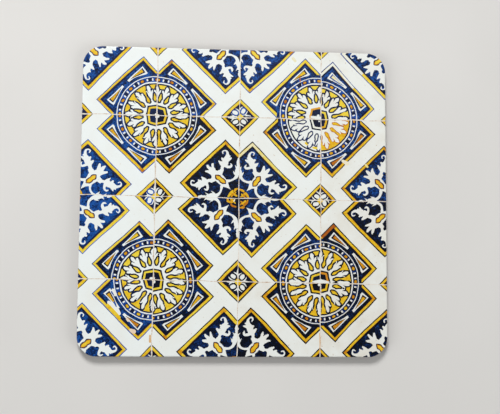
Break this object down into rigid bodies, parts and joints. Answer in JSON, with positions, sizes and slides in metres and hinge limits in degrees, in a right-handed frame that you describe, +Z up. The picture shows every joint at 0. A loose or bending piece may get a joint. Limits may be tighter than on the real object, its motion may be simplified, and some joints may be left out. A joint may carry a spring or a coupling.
{
  "type": "printed coaster",
  "caption": "Thin square drink coaster with rounded corners: pressed board with a gloss top printed with an old blue, yellow and white azulejo wall; lies flat under a cup or glass.",
  "frame": {"origin": "centre of the underside, on the surface the coaster lies on", "axes": "+Z up through the plate, out of the printed face; +Y towards the top of the print in the picture; +X to its right"},
  "size_m": [0.095, 0.095, 0.003],
  "materials": {
    "printed_board": "gloss"
  },
  "bodies": {
    "root": {"coaster": "printed_board"}
  },
  "joints": []
}
